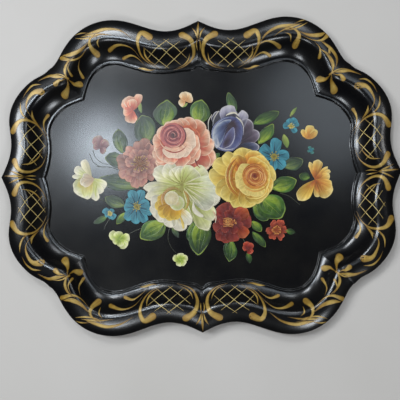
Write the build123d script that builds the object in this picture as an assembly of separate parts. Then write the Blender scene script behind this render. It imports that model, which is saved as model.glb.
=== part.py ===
"""Pie-crust serving tray: one pressed steel pan, whose rolled edge holds a stiffening wire.

The tray lies flat, +X along its long side. The origin is under the middle of the well, on its flat
underside. The rim is worked out in one quadrant and mirrored, so it has eight lobes, a pointed cusp in
the middle of each side and a sharp notch in the well's outline at each corner. Dimensions are in mm.
"""

import os
from math import cos, pi, radians, sin

from build123d import *

# Driving dimensions of the plan.
HALF_LENGTH = 330.0
HALF_WIDTH = 258.0
WELL_HALF_LENGTH = 262.0
WELL_HALF_WIDTH = 185.0

# Driving dimensions of the section.
SHEET = 0.8
CREST_HEIGHT = 28.0
FLANGE_END_HEIGHT = 23.0
COVE_MID_HEIGHT = 15.5
COVE_MID_SHARE = 0.36  # of the rim's breadth, counted from the well
CREST_SHARE = 0.61
COVE_SLOPE = 45.0
FLANGE_SLOPE = 24.0
STEP_SLOPE = 60.0
LEDGE_SLOPE = -9.0  # the bead along the well falls away a little before the cove rises
STEP_FOOT_RADIUS = 1.6
STEP_FACE_LENGTH = 1.0
STEP_LIP_RADIUS = 2.2
WIRE_RADIUS = 1.1
WIRE_CLEARANCE = 0.05
CURL = 270.0  # how far the edge is rolled round the wire, in degrees

BORE_RADIUS = WIRE_RADIUS + WIRE_CLEARANCE
HEM_RADIUS = BORE_RADIUS + SHEET

# Where a rim section joins the notch, in the well's outline, to the valley in the outer edge.
NOTCH = (196.5, 132.0)
VALLEY = (246.5, 183.0)
NOTCH_IN = 161.0  # heading of the well's outline as it reaches the notch, in degrees
NOTCH_OUT = 106.0
VALLEY_THROUGH = 139.0
CUSP_TURN = 24.0  # how far each side of a cusp leans from square across it, in degrees
STATION_PITCH = 11.0
WIRE_ARCS = 3
HANDLE_SHARE = 0.38  # of a curve's chord, how far its end slopes hold
BEAD_HANDLE_SHARE = 0.2  # the same where the cove leaves the bead, so that it turns up at once
LEVEL_TOLERANCE = 0.001


def heading(degrees):
    """Unit vector in plan at this angle from +X."""
    return Vector(cos(radians(degrees)), sin(radians(degrees)))


def side_lobe():
    """The well's outline and the outer edge, from the side cusp to the corner."""
    well = Spline(
        (WELL_HALF_LENGTH, 0),
        (254.2, 28),
        (252.4, 56),
        (254.6, 80),
        (246, 101.5),
        (226, 120.5),
        NOTCH,
        tangents=[heading(90 + CUSP_TURN), heading(NOTCH_IN)],
    )
    edge = Spline(
        (HALF_LENGTH, 0),
        (317.5, 31),
        (314, 58),
        (317.6, 92),
        (305, 134.5),
        (276, 163.8),
        VALLEY,
        tangents=[heading(90 + CUSP_TURN), heading(VALLEY_THROUGH)],
    )
    return well, edge


def end_lobe():
    """The well's outline and the outer edge, from the corner to the cusp of the long side."""
    well = Spline(
        NOTCH,
        (186, 165.5),
        (169, 185),
        (146, 192),
        (119, 186),
        (92, 177.5),
        (56, 174.3),
        (20, 178.6),
        (0, WELL_HALF_WIDTH),
        tangents=[heading(NOTCH_OUT), heading(180 - CUSP_TURN)],
    )
    edge = Spline(
        VALLEY,
        (230, 208),
        (206, 239.5),
        (170, 259),
        (137, 262),
        (98, 252),
        (55, 241.5),
        (21, 248.3),
        (0, HALF_WIDTH),
        tangents=[heading(VALLEY_THROUGH), heading(180 - CUSP_TURN)],
    )
    return well, edge


def stations(lobe):
    """Pairs of points, on the well's outline and on the outer edge, that each rim section joins."""
    well, edge = lobe
    count = round(edge.length / STATION_PITCH)
    return [(well @ (k / count), edge @ (k / count)) for k in range(count + 1)]


def below(point, slope, depth):
    """The point this deep under the sheet's upper face, square to a face of this slope in degrees."""
    return point[0] + depth * sin(radians(slope)), point[1] - depth * cos(radians(slope))


def hem_centre(breadth):
    """Centre of the rolled edge, as distance from the well and height."""
    flange_end_inset = HEM_RADIUS * (1 - sin(radians(FLANGE_SLOPE)))
    top = (breadth - flange_end_inset, FLANGE_END_HEIGHT)
    return below(top, -FLANGE_SLOPE, HEM_RADIUS)


def on_circle(centre, radius, degrees):
    return centre[0] + radius * cos(radians(degrees)), centre[1] + radius * sin(radians(degrees))


def section(well_point, edge_point):
    """Outline of the sheet where one rim section cuts it, open where it meets the flat well."""
    across = edge_point - well_point
    breadth = across.length
    out = across.normalized()

    def place(point):
        return well_point + out * point[0] + Vector(0, 0, point[1])

    def direction(slope):
        return out * cos(radians(slope)) + Vector(0, 0, sin(radians(slope)))

    def line(a, b):
        return Line(place(a), place(b))

    def tangent_arc(a, slope, b):
        return TangentArc(place(a), place(b), tangent=direction(slope))

    foot = (0, SHEET)
    foot_top = (
        STEP_FOOT_RADIUS * sin(radians(STEP_SLOPE)),
        SHEET + STEP_FOOT_RADIUS * (1 - cos(radians(STEP_SLOPE))),
    )
    face_top = (
        foot_top[0] + STEP_FACE_LENGTH * cos(radians(STEP_SLOPE)),
        foot_top[1] + STEP_FACE_LENGTH * sin(radians(STEP_SLOPE)),
    )
    ledge = (
        face_top[0] + STEP_LIP_RADIUS * (sin(radians(STEP_SLOPE)) - sin(radians(LEDGE_SLOPE))),
        face_top[1] + STEP_LIP_RADIUS * (cos(radians(LEDGE_SLOPE)) - cos(radians(STEP_SLOPE))),
    )
    cove_mid = (breadth * COVE_MID_SHARE, COVE_MID_HEIGHT)
    crest = (breadth * CREST_SHARE, CREST_HEIGHT)
    hem = hem_centre(breadth)
    start = 90 - FLANGE_SLOPE
    flange_end = on_circle(hem, HEM_RADIUS, start)
    flange_end_under = on_circle(hem, BORE_RADIUS, start)

    def sweep(a, slope_a, b, slope_b, hold_a=HANDLE_SHARE, hold_b=HANDLE_SHARE):
        """Smooth curve that leaves one point and reaches the next at these slopes."""
        start, stop = place(a), place(b)
        chord = (stop - start).length
        leaving = start + direction(slope_a) * chord * hold_a
        reaching = stop - direction(slope_b) * chord * hold_b
        return Bezier(start, leaving, reaching, stop)

    def hem_arc(radius, first, last):
        middle = (first + last) / 2
        return ThreePointArc(*[place(on_circle(hem, radius, a)) for a in (first, middle, last)])

    halfway = start - CURL / 2
    tip = start - CURL
    ledge_under = below(ledge, LEDGE_SLOPE, SHEET)
    face_top_under = below(face_top, STEP_SLOPE, SHEET)
    foot_top_under = below(foot_top, STEP_SLOPE, SHEET)
    cove_mid_under = below(cove_mid, COVE_SLOPE, SHEET)
    crest_under = below(crest, 0, SHEET)
    return Wire(
        [
            tangent_arc(foot, 0, foot_top),
            line(foot_top, face_top),
            tangent_arc(face_top, STEP_SLOPE, ledge),
            sweep(ledge, LEDGE_SLOPE, cove_mid, COVE_SLOPE, hold_a=BEAD_HANDLE_SHARE),
            sweep(cove_mid, COVE_SLOPE, crest, 0),
            sweep(crest, 0, flange_end, -FLANGE_SLOPE),
            hem_arc(HEM_RADIUS, start, halfway),
            hem_arc(HEM_RADIUS, halfway, tip),
            line(on_circle(hem, HEM_RADIUS, tip), on_circle(hem, BORE_RADIUS, tip)),
            hem_arc(BORE_RADIUS, tip, halfway),
            hem_arc(BORE_RADIUS, halfway, start),
            sweep(flange_end_under, 180 - FLANGE_SLOPE, crest_under, 180),
            sweep(crest_under, 180, cove_mid_under, 180 + COVE_SLOPE),
            sweep(cove_mid_under, 180 + COVE_SLOPE, ledge_under, 180 + LEDGE_SLOPE, hold_b=BEAD_HANDLE_SHARE),
            tangent_arc(ledge_under, LEDGE_SLOPE + 180, face_top_under),
            line(face_top_under, foot_top_under),
            tangent_arc(foot_top_under, STEP_SLOPE + 180, (0, 0)),
        ]
    )


def all_round(outline):
    """Lofts an outline along both lobes of the quadrant and mirrors them into the other three."""
    quadrant = []
    for lobe in (side_lobe(), end_lobe()):
        quadrant.append(Shell.make_loft([outline(*pair) for pair in stations(lobe)]))
    half = quadrant + [piece.mirror(Plane.YZ) for piece in quadrant]
    return half + [piece.mirror(Plane.XZ) for piece in half]


def lies_at(edge, height):
    """True where both ends and the middle of an edge are at this height."""
    return all(abs((edge @ share).Z - height) < LEVEL_TOLERANCE for share in (0, 0.5, 1))


def make_tray_pan():
    """The pressed sheet: a flat well with the rim all round it."""
    rims = all_round(section)
    faces = [face for rim in rims for face in rim.faces()]
    for height in (0, SHEET):
        outline = [edge for rim in rims for edge in rim.edges() if lies_at(edge, height)]
        faces.append(Face(Wire(outline)))
    return Solid(Shell(faces))


def wire_ring(well_point, edge_point):
    """Outline of the stiffening wire where one rim section cuts it."""
    across = edge_point - well_point
    reach, height = hem_centre(across.length)
    middle = well_point + across.normalized() * reach + Vector(0, 0, height)
    out = across.normalized() * WIRE_RADIUS
    up = Vector(0, 0, WIRE_RADIUS)

    def around(turns):
        return middle + out * cos(2 * pi * turns) + up * sin(2 * pi * turns)

    arcs = []
    for k in range(WIRE_ARCS):
        arcs.append(ThreePointArc(*[around((k + share) / WIRE_ARCS) for share in (0, 0.5, 1)]))
    return Wire(arcs)


def make_rim_wire():
    """The round wire inside the rolled edge."""
    return Solid(Shell([face for tube in all_round(wire_ring) for face in tube.faces()]))


def main():
    os.makedirs("parts", exist_ok=True)
    nodes = {"tray_pan": make_tray_pan(), "rim_wire": make_rim_wire()}
    for name, shape in nodes.items():
        shape.label = name
        export_step(shape, f"parts/{name}.step")
        box = shape.bounding_box()
        solids = len(shape.solids())
        print(name, shape.is_valid, solids, "solids", round(shape.volume), "mm3", box.size, box.min)


main()
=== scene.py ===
"""Painted pie-crust tray: the enamel, the bouquet in the well and the gold scrollwork on the rim.

The decoration is real paint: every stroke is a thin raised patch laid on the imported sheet. Strokes are
given in plan, in millimetres from the middle of the well, +X right and +Y towards the top of the
picture, and `Paint` drops them onto the sheet. Colours are display values from 0 to 255.
"""

import math
import random

import bpy
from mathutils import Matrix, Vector
from mathutils.bvhtree import BVHTree


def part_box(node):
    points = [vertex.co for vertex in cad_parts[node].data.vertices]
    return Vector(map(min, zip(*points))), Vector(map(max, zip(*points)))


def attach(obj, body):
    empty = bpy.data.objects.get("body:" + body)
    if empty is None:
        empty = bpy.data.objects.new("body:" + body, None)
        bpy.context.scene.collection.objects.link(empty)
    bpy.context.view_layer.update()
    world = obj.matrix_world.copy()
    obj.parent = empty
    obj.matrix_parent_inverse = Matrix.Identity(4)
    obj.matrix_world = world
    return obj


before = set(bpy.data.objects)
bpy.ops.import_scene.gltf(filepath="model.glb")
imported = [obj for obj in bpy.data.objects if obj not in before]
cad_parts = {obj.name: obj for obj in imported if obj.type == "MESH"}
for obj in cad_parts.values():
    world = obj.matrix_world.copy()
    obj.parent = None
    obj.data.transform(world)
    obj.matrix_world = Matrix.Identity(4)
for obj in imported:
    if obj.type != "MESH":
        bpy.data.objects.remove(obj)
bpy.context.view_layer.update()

MM = 0.001
random.seed(7)

pan = bpy.data.objects["tray_pan"]
wire = bpy.data.objects["rim_wire"]
sheet = BVHTree.FromObject(pan, bpy.context.evaluated_depsgraph_get())
DROP_FROM = 0.1  # height above the table from which points fall onto the sheet, metres
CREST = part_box("tray_pan")[1][2]
FILM = 0.04  # thickness of one brush stroke, mm
LOBE_STEP = 0.018  # how much higher the next petal lies, mm
STROKE_STEP = 0.006  # the same for the next stroke, mm
POINT_GAP = 2.2  # between two points along a stroke, mm
SUNK = -0.08  # a stroke's border dips this far below the sheet, mm
LOBE_MIDDLE = (150.0, 190.0)  # of the rim's large lobe in the first quarter, mm


# ---------------------------------------------------------------- colour

def linear(value):
    value /= 255.0
    return value / 12.92 if value <= 0.04045 else ((value + 0.055) / 1.055) ** 2.4


def tone(r, g, b):
    return (linear(r), linear(g), linear(b))


def blend(a, b, share):
    return tuple(p + (q - p) * share for p, q in zip(a, b))


def ramp(tones, share):
    """Colour along a list of tones, share 0 at the first and 1 at the last."""
    place = min(max(share, 0.0), 0.9999) * (len(tones) - 1)
    index = int(place)
    return blend(tones[index], tones[index + 1], place - index)


def hues(*values):
    """Several tones at once, each given as (r, g, b)."""
    return tuple(tone(*value) for value in values)


def shaded(colour, factor):
    return tuple(min(1.0, c * factor) for c in colour)


GOLD_DARK = tone(118, 92, 38)
GOLD = tone(184, 150, 70)
GOLD_LIGHT = tone(222, 196, 128)
WHITE = tone(232, 230, 222)
LEAF_DARK = tone(44, 72, 36)
LEAF = tone(84, 124, 52)
LEAF_LIGHT = tone(194, 212, 88)
LEAF_PALE = tone(196, 208, 140)
CORAL = tone(214, 122, 100)
PEACH = tone(232, 180, 158)
BLUSH = tone(240, 214, 200)
ROSE_RED = tone(190, 84, 74)
ROSE_DARK = tone(112, 60, 72)
YELLOW_PALE = tone(238, 222, 150)
YELLOW = tone(226, 190, 98)
AMBER = tone(206, 142, 54)
UMBER = tone(156, 84, 44)
IVORY = tone(228, 228, 210)
ICE = tone(206, 212, 200)
LIME = tone(188, 198, 118)
OCHRE = tone(204, 160, 40)
VIOLET = tone(98, 96, 150)
LAVENDER = tone(176, 176, 204)
PLUM = tone(58, 42, 62)
WINE = tone(112, 40, 40)
BRICK = tone(168, 62, 42)
SALMON = tone(208, 112, 88)
DUSK = tone(144, 86, 86)
DUSK_LIGHT = tone(188, 136, 128)
TEAL_DARK = tone(26, 92, 124)
TEAL = tone(58, 146, 176)
STEM = tone(92, 96, 76)
GILT = hues((150, 70, 40), (216, 140, 70), (230, 180, 110))
BUTTER = (tone(150, 140, 60), tone(206, 194, 104), YELLOW_PALE)


def placed(name, data):
    """A new object in the scene."""
    thing = bpy.data.objects.new(name, data)
    bpy.context.scene.collection.objects.link(thing)
    return thing


# ---------------------------------------------------------------- curves in plan

def catmull(points, per_span, closed=False):
    """Smooth curve through points of any length; each point is a tuple of numbers."""
    count = len(points)
    if closed:
        padded = [points[-1]] + list(points) + [points[0], points[1]]
        spans = count
    else:
        first = tuple(2 * a - b for a, b in zip(points[0], points[1]))
        last = tuple(2 * a - b for a, b in zip(points[-1], points[-2]))
        padded = [first] + list(points) + [last]
        spans = count - 1
    out = []
    for span in range(spans):
        p0, p1, p2, p3 = padded[span : span + 4]
        for step in range(per_span):
            t = step / per_span
            out.append(
                tuple(
                    0.5 * (2 * b + (c - a) * t + (2 * a - 5 * b + 4 * c - d) * t * t)
                    + 0.5 * (3 * b - a - 3 * c + d) * t * t * t
                    for a, b, c, d in zip(p0, p1, p2, p3)
                )
            )
    if not closed:
        out.append(tuple(points[-1]))
    return out


def distances(curve):
    """How far along the curve each of its points lies, in mm."""
    run = [0.0]
    for a, b in zip(curve, curve[1:]):
        run.append(run[-1] + math.dist(a[:2], b[:2]))
    return run


def with_round_ends(curve, first, last):
    """The same curve with closer points near its two ends, where a wide stroke has to look round."""
    run = distances(curve)
    closer = (0.03, 0.1, 0.22, 0.4, 0.65)
    wanted = set(run)
    for share in closer:
        wanted.add(min(run[-1], first * share))
        wanted.add(max(0.0, run[-1] - last * share))
    out = []
    for place in sorted(wanted):
        k = max(i for i, value in enumerate(run[:-1]) if value <= place)
        share = (place - run[k]) / ((run[k + 1] - run[k]) or 1.0)
        out.append(tuple(a + (b - a) * share for a, b in zip(curve[k], curve[k + 1])))
    return out


def polar(centre, radius, degrees):
    angle = math.radians(degrees)
    return centre[0] + radius * math.cos(angle), centre[1] + radius * math.sin(angle)


def beside(start, along, across, degrees):
    """The point along mm ahead of start and across mm to the left, for a walker facing degrees."""
    ahead = polar(start, along, degrees)
    angle = math.radians(degrees)
    return ahead[0] - across * math.sin(angle), ahead[1] + across * math.cos(angle)


# ---------------------------------------------------------------- paint

class Paint:
    """One painted motif: strokes and petals gathered into a single raised mesh.

    level is how far over the sheet its next patch lies, in mm. turn swings the motif about the middle of
    a rim lobe, in degrees, and flip then mirrors it into another quarter.
    """

    def __init__(self, name, level, slot="paint_flowers", flip=(1, 1), turn=0.0):
        self.name = name
        self.turn = math.radians(turn)
        self.level = level
        self.slot = slot
        self.flip = flip
        self.points = []
        self.faces = []
        self.colours = []
        self.marks = []

    def add_grid(self, rows, wrap):
        """Rows of (x, y, lift, colour) points joined by faces; wrap joins each row's ends."""
        start = len(self.points)
        width = len(rows[0])
        mark = random.random()  # shifts the bristle marks, so that no two patches match
        for row in rows:
            for x, y, lift, colour in row:
                dx, dy = x - LOBE_MIDDLE[0], y - LOBE_MIDDLE[1]
                x = LOBE_MIDDLE[0] + dx * math.cos(self.turn) - dy * math.sin(self.turn)
                y = LOBE_MIDDLE[1] + dx * math.sin(self.turn) + dy * math.cos(self.turn)
                self.points.append((x * self.flip[0], y * self.flip[1], lift))
                self.colours.append(colour)
        columns = width if wrap else width - 1
        mirrored = self.flip[0] * self.flip[1] < 0
        step = 1 / (len(rows) - 1)
        for i in range(len(rows) - 1):
            for j in range(columns):
                a = start + i * width + j
                b = start + i * width + (j + 1) % width
                face = (a, b, b + width, a + width)
                u, v = i / (len(rows) - 1), j / width + mark * 9
                marks = ((u, v), (u, v + 1 / width), (u + step, v + 1 / width), (u + step, v))
                self.faces.append(face[::-1] if mirrored else face)
                self.marks += marks[::-1] if mirrored else marks
        if wrap:
            cap = tuple(range(start, start + width))
            self.faces.append(cap if mirrored else cap[::-1])
            self.marks += [(0.0, mark * 9)] * width

    def lobe(self, outline, heart, tones, streak=0.10, span=6, axis=None, lean=0.0, late=1.0):
        """A petal or leaf: a smooth closed outline shaded from its heart out to its rim.

        With an axis in degrees the last tones reach only the far end, as a double-loaded brush leaves them.
        lean lights one side of the axis and darkens the other; late holds the first tones for longer.
        """
        border = catmull(outline, span, closed=True)
        area = sum(a[0] * b[1] - b[0] * a[1] for a, b in zip(border, border[1:] + border[:1]))
        if area > 0:
            border = border[::-1]
        count = len(border)
        radii = (0.02, 0.2, 0.4, 0.58, 0.74, 0.86, 0.94, 0.98, 1.0)
        noise = [random.uniform(-1, 1) for _ in range(count)]
        noise = [(noise[k - 1] + 2 * noise[k] + noise[(k + 1) % count]) / 4 for k in range(count)]
        ahead, aside = [1.0] * count, [0.0] * count
        if axis is not None:
            ax, ay = polar((0, 0), 1.0, axis)
            ahead = [(x - heart[0]) * ax + (y - heart[1]) * ay for x, y in border]
            aside = [(y - heart[1]) * ax - (x - heart[0]) * ay for x, y in border]
            furthest, widest = max(ahead), max(abs(v) for v in aside)
            # the sides and the near end keep the first tones for longer than the far end does
            ahead = [0.42 + 0.58 * max(-0.4, v / furthest) for v in ahead]
            aside = [v / widest for v in aside]
        rows = []
        for radius in radii:
            row = []
            lift = SUNK if radius == 1.0 else self.level + FILM
            for k, place in enumerate(border):
                shift = noise[k] * streak * (1.2 - abs(radius - 0.55))
                share = max(0.0, radius * ahead[k]) ** late + shift
                light = 1 + noise[k] * streak * 0.6 + lean * aside[k] * radius
                row.append((*blend(heart, place, radius), lift, shaded(ramp(tones, share), light)))
            rows.append(row)
        self.add_grid(rows, wrap=True)
        self.level += LOBE_STEP

    def stroke(self, path, tones, edge=None):
        """A brush stroke through (x, y, width) points, round at wide ends and drawn out at thin ones."""
        points = [tuple(p) for p in path]
        for end, near in ((0, 1), (-1, -2)):
            reach = points[end][2] / 2
            dx, dy = points[end][0] - points[near][0], points[end][1] - points[near][1]
            size = math.hypot(dx, dy) or 1.0
            x, y, width = points[end]
            points[end] = (x + dx / size * reach, y + dy / size * reach, width)
        length = sum(math.dist(a[:2], b[:2]) for a, b in zip(points, points[1:]))
        per_span = max(4, round(length / POINT_GAP / (len(points) - 1)))
        curve = with_round_ends(catmull(points, per_span), points[0][2] / 2, points[-1][2] / 2)
        run = distances(curve)
        lanes = (-1.0, -0.86, -0.5, 0.0, 0.5, 0.86, 1.0)
        rows = []
        for k, (x, y, width) in enumerate(curve):
            before, after = curve[max(0, k - 1)], curve[min(len(curve) - 1, k + 1)]
            dx, dy = after[0] - before[0], after[1] - before[1]
            size = math.hypot(dx, dy) or 1.0
            half = max(0.3, width) / 2
            for gap, whole in ((run[k], points[0][2]), (run[-1] - run[k], points[-1][2])):
                reach = max(0.4, whole / 2)
                if gap < reach:
                    half *= max(0.04, math.sqrt(max(0.0, 1 - (1 - gap / reach) ** 2)))
            row = []
            here = ramp(tones, run[k] / run[-1])
            wobble = 1 + random.uniform(-0.06, 0.06)
            for lane in lanes:
                outer = abs(lane) == 1.0 or k in (0, len(curve) - 1)
                lift = SUNK if outer else self.level + FILM * (1.3 - 0.4 * lane * lane)
                shade = blend(here, edge, max(0.0, abs(lane) * 1.6 - 0.75)) if edge else here
                colour = shaded(shade, wobble * (1 - 0.10 * lane))
                row.append((x - dy / size * half * lane, y + dx / size * half * lane, lift, colour))
            rows.append(row)
        self.add_grid(rows, wrap=False)
        self.level += STROKE_STEP

    def petal(self, base, degrees, length, width, tones, belly, round_tip, bend,
              streak=0.12, lean=0.22, late=1.35, wobble=0.03, edge=None):
        """A petal from its base: widest at belly, blunt when round_tip is small, bent sideways by bend mm.

        An edge colour adds the thin light line that the loaded side of the brush leaves round the tip.
        """
        power = math.log(0.5) / math.log(belly)
        steps = (0.0, 0.12, 0.3, 0.5, 0.7, 0.85, 0.95, 1.0)
        outline = []
        for side in (1, -1):
            for u in steps if side == 1 else steps[-2:0:-1]:
                half = width / 2 * max(0.0, math.sin(math.pi * u**power)) ** round_tip
                half *= 1 + random.uniform(-wobble, wobble) * 3
                along = length * (u + random.uniform(-wobble, wobble) * u)
                across = side * half + bend * math.sin(math.pi * u / 2) ** 2
                outline.append(beside(base, along, across, degrees))
        heart = polar(base, length * 0.12, degrees)
        self.lobe(outline, heart, tones, streak, 3, degrees, lean, late)
        if edge:
            last = len(steps) - 1
            inset = 0.965
            picked = outline[last - 3 : last + 4]
            thick = min(2.0, 0.4 + width * 0.045)
            swell = (0.25, 0.8, 1.0, 1.0, 0.8, 0.55, 0.2)
            line = [(*blend(heart, place, inset), thick * share) for place, share in zip(picked, swell)]
            self.stroke(line, (blend(tones[-2], edge, 0.6), edge, blend(tones[-2], edge, 0.4)))

    def leaf(self, base, tip, width, tones, bend, veins):
        """A leaf: light by the stalk, dark at the tip, one half brighter, with a midrib and fine veins."""
        tones = tones or (LEAF_LIGHT, blend(LEAF_LIGHT, LEAF, 0.6), LEAF, blend(LEAF, LEAF_DARK, 0.6))
        length = math.dist(base, tip)
        degrees = math.degrees(math.atan2(tip[1] - base[1], tip[0] - base[0]))
        lean = 0.4 if bend >= 0 else -0.4
        pale = blend(tones[0], LEAF_PALE, 0.3)
        rim = blend(pale, tones[1], 0.45) if veins else None
        self.petal(base, degrees, length, width, tones, 0.5, 0.72, bend, 0.14, lean, 0.8, 0.02, rim)

        def on_rib(share):
            return beside(base, length * share, bend * math.sin(math.pi * share / 2) ** 2, degrees)

        thick = max(0.5, width * 0.035)
        rib = [(*on_rib(share), thick * (1.1 - share)) for share in (0.04, 0.35, 0.65, 0.92)]
        self.stroke(rib, (pale, blend(pale, tones[-1], 0.7)))
        if veins:
            bright = blend(tones[0], tones[1], 0.15)
            patch_shape = ((0.14, 0.10, 0.5), (0.3, 0.22, 1.0), (0.5, 0.26, 0.9), (0.8, 0.12, 0.15))
            for half, hue, thick_share in ((1, bright, 0.28), (-1, tones[-1], 0.18)):
                side = half if lean > 0 else -half
                patch = []
                for share, out, swell in patch_shape:
                    middle = on_rib(share)
                    place = polar(middle, width * out, degrees + 90 * side)
                    patch.append((*place, width * thick_share * swell))
                self.stroke(patch, (hue, blend(hue, tones[1], 0.5), tones[2]), tones[1])
        for k in range(veins):
            share = 0.2 + 0.18 * k
            start = on_rib(share)
            for side in (1, -1):
                reach = width * 0.34 * (1 - 0.16 * k)
                end = polar(start, reach, degrees + side * 48)
                middle = polar(start, reach * 0.5, degrees + side * 58)
                vein = [(*start, thick * 0.6), (*middle, thick * 0.5), (*end, thick * 0.3)]
                self.stroke(vein, (blend(pale, tones[1], 0.6), tones[2]))

    def sweep(self, centre, radius, start, end, width, tones, edge=None, drift=0.0):
        """A crescent stroke along an arc from start to end degrees.

        drift widens the arc's radius as it goes.
        """
        path = []
        count = max(4, round(abs(end - start) / 28) + 2)
        for k in range(count):
            share = k / (count - 1)
            x, y = polar((0, 0), radius + drift * share, start + (end - start) * share)
            swell = width * (0.12 + 0.88 * math.sin(math.pi * share) ** 0.8)
            path.append((centre[0] + x, centre[1] + y, swell))
        self.stroke(path, tones, edge)

    def done(self):
        """Drops the motif onto the sheet and hands it over as one piece riding with the tray."""
        verts = []
        for x, y, lift in self.points:
            hit, normal, _, _ = sheet.ray_cast(Vector((x * MM, y * MM, DROP_FROM)), Vector((0, 0, -1)))
            if hit is None:
                hit, normal, _, _ = sheet.find_nearest(Vector((x * MM, y * MM, CREST)))
            verts.append(hit + normal * lift * MM)
        mesh = bpy.data.meshes.new(self.name)
        mesh.from_pydata(verts, [], self.faces)
        colour = mesh.color_attributes.new("paint", "FLOAT_COLOR", "POINT")
        for k, value in enumerate(self.colours):
            colour.data[k].color = (*value, 1.0)
        bristles = mesh.uv_layers.new(name="bristles")
        for k, mark in enumerate(self.marks):
            bristles.data[k].uv = mark
        mesh.shade_smooth()
        mesh.materials.append(PAINTS[self.slot])
        piece = placed(self.name, mesh)
        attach(piece, "root")


# ---------------------------------------------------------------- materials

MIX_FACTOR, MIX_FIRST, MIX_SECOND, MIX_COLOUR = 0, 6, 7, 2  # sockets of the Mix node in colour mode


class Finish:
    """A node material, put together round its Principled shader.

    place and facing are the shaded point's position and direction in the object's own axes.
    """

    def __init__(self, name):
        self.material = bpy.data.materials.new(name)
        self.material.use_nodes = True
        self.tree = self.material.node_tree
        self.place = self.node("TexCoord", {}, "Object")
        self.facing = self.node("TexCoord", {}, "Normal")

    def feed(self, node, inputs):
        """Gives each named input of a node its socket or its plain value."""
        for key, value in inputs.items():
            if isinstance(value, bpy.types.NodeSocket):
                self.tree.links.new(value, node.inputs[key])
            else:
                node.inputs[key].default_value = value

    def node(self, kind, inputs, output, **settings):
        """Adds a node and returns its socket called output."""
        node = self.tree.nodes.new("ShaderNode" + kind)
        for key, value in settings.items():
            setattr(node, key, value)
        self.feed(node, inputs)
        return node.outputs[output]

    def noise(self, coords, scale, detail, stretch=(1, 1, 1)):
        vector = self.node("Mapping", {"Scale": stretch, "Vector": coords}, "Vector")
        return self.node("TexNoise", {"Scale": scale, "Detail": detail, "Vector": vector}, "Fac")

    def remap(self, value, low, high, out_low=0.0, out_high=1.0):
        limits = {"From Min": low, "From Max": high, "To Min": out_low, "To Max": out_high}
        return self.node("MapRange", {"Value": value, **limits}, "Result")

    def mix(self, factor, first, second, mode="MIX"):
        """Colour mix; first and second are sockets or colours."""
        first, second = ((*c, 1.0) if isinstance(c, tuple) else c for c in (first, second))
        inputs = {MIX_FACTOR: factor, MIX_FIRST: first, MIX_SECOND: second}
        return self.node("Mix", inputs, MIX_COLOUR, data_type="RGBA", blend_type=mode)

    def multiply(self, first, second):
        return self.mix(1.0, first, second, "MULTIPLY")

    def grey(self, value):
        return self.node("CombineColor", {"Red": value, "Green": value, "Blue": value}, "Color")

    def upward(self, vector):
        """The vertical part of a vector."""
        return self.node("SeparateXYZ", {"Vector": vector}, "Z")

    def bump(self, height, strength, distance):
        inputs = {"Strength": strength, "Distance": distance, "Height": height}
        return self.node("Bump", inputs, "Normal")

    def finished(self, inputs):
        """The material, once its shader has its inputs."""
        self.feed(self.tree.nodes["Principled BSDF"], inputs)
        return self.material


def paint_material(name, metallic, contrast, depth, varnish):
    """Brush paint: the stroke's own colour, deepened under varnish, with bristle marks and thin cover.

    depth is the gamma that deepens the colour, and varnish is the tint laid over it.
    """
    f = Finish(name)
    colour = f.node("Attribute", {}, "Color", attribute_name="paint")
    marks = f.node("UVMap", {}, "UV", uv_map="bristles")
    bristle = f.noise(marks, 1.0, 4.0, (2.2, 34.0, 1.0))
    cover = f.noise(f.place, 150.0, 4.0)
    streaks = f.grey(f.remap(bristle, 0.3, 0.7, 1 - contrast, 1 + contrast * 0.6))
    patches = f.grey(f.remap(cover, 0.3, 0.7, 1 - contrast * 0.6, 1 + contrast * 0.4))
    deep = f.node("Gamma", {"Gamma": depth, "Color": colour}, "Color")
    aged = f.multiply(deep, varnish)
    return f.finished({
        "Base Color": f.multiply(f.multiply(aged, streaks), patches),
        "Roughness": f.remap(cover, 0.3, 0.7, 0.29, 0.43),
        "Metallic": metallic,
        "Normal": f.bump(bristle, 0.25, 0.0002),
    })


def enamel_material(edge_height):
    """Black enamel: faint mottling, dust and a soft gloss, rubbed to rusty brown on the rolled edge."""
    f = Finish("black_enamel")
    mottle = f.noise(f.place, 18.0, 5.0)
    specks = f.noise(f.place, 900.0, 2.0)
    fine = f.noise(f.place, 260.0, 4.0)
    black = f.mix(f.remap(mottle, 0.35, 0.65), tone(5, 5, 7), tone(12, 11, 10))
    dusty = f.mix(f.remap(specks, 0.66, 0.74, 0.0, 0.25), black, tone(70, 68, 64))
    rubbed = f.mix(f.remap(mottle, 0.4, 0.6, 0.2, 0.8), dusty, tone(78, 46, 32))
    facing_up = f.upward(f.facing)
    sideways = f.remap(facing_up, 0.35, 0.6, 1.0, 0.0)
    not_down = f.remap(facing_up, -0.66, -0.5)
    high = f.remap(f.upward(f.place), edge_height - MM, edge_height)
    edge = f.multiply(f.multiply(f.grey(sideways), f.grey(not_down)), f.grey(high))
    return f.finished({
        "Base Color": f.mix(edge, dusty, rubbed),
        "Roughness": f.remap(mottle, 0.2, 0.8, 0.20, 0.24),
        "Normal": f.bump(fine, 0.04, 0.0003),
    })


def wire_material():
    """Drawn steel wire, dull grey with rust, seen only where the hem's lip leaves it open."""
    f = Finish("rim_steel")
    rust = f.noise(f.place, 140.0, 5.0)
    return f.finished({
        "Base Color": f.mix(f.remap(rust, 0.5, 0.62), tone(120, 116, 112), tone(92, 54, 34)),
        "Roughness": f.remap(rust, 0.4, 0.7, 0.35, 0.75),
        "Metallic": f.remap(rust, 0.5, 0.62, 0.9, 0.1),
        "Normal": f.bump(rust, 0.3, 0.0002),
    })


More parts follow.
